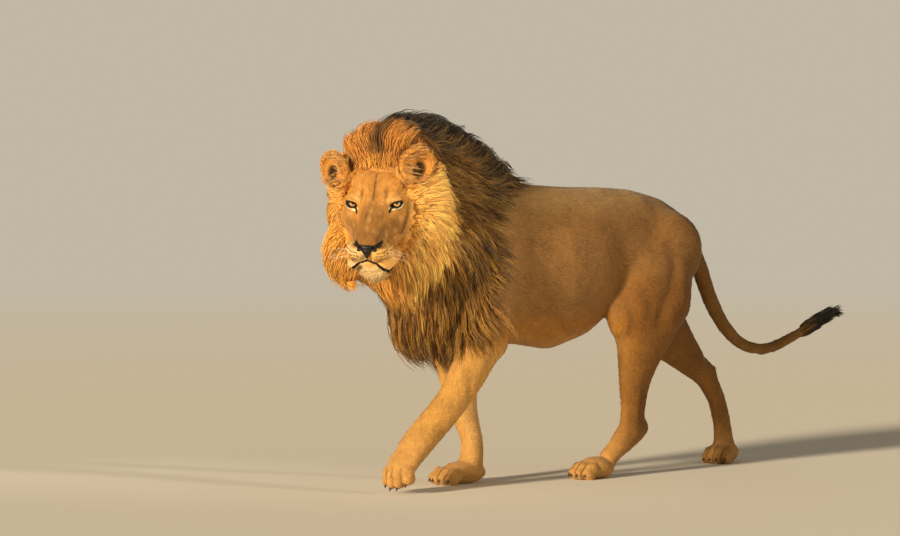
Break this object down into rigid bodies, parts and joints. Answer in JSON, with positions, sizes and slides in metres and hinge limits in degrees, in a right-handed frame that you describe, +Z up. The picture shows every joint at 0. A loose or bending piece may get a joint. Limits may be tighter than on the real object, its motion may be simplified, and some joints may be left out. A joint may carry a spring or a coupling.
{
  "type": "lion",
  "caption": "Life-size still model of an adult male lion walking with one forepaw raised, head turned to its left, full dark mane, tail out behind.",
  "frame": {"origin": "middle of the bounding box, on the floor under the lion", "axes": "+Z up, -X the way the lion walks, +Y its right side"},
  "size_m": [2.5064, 0.5168, 1.2997],
  "materials": {
    "coat": "short dense sandy fur, paler on the belly and inner legs",
    "mane": "long hair, gold round the face, brown-black on the neck, crest and chest",
    "nose": "dark moist pebbled nose skin",
    "eyes": "amber iris under a clear wet cornea"
  },
  "bodies": {
    "root": {"trunk": "coat", "head": "coat", "ear_left": "coat", "ear_right": "coat", "eye_left": "eyes", "eye_right": "eyes", "nose": "nose", "leg_fore_left": "coat", "leg_fore_right": "coat", "leg_hind_left": "coat", "leg_hind_right": "coat", "paw_fore_left": "coat", "paw_fore_right": "coat", "paw_hind_left": "coat", "paw_hind_right": "coat", "tail": "coat", "tail_tuft": "mane", "face_ruff": "mane", "chest_mane": "mane", "neck_mane": "mane"}
  },
  "joints": []
}
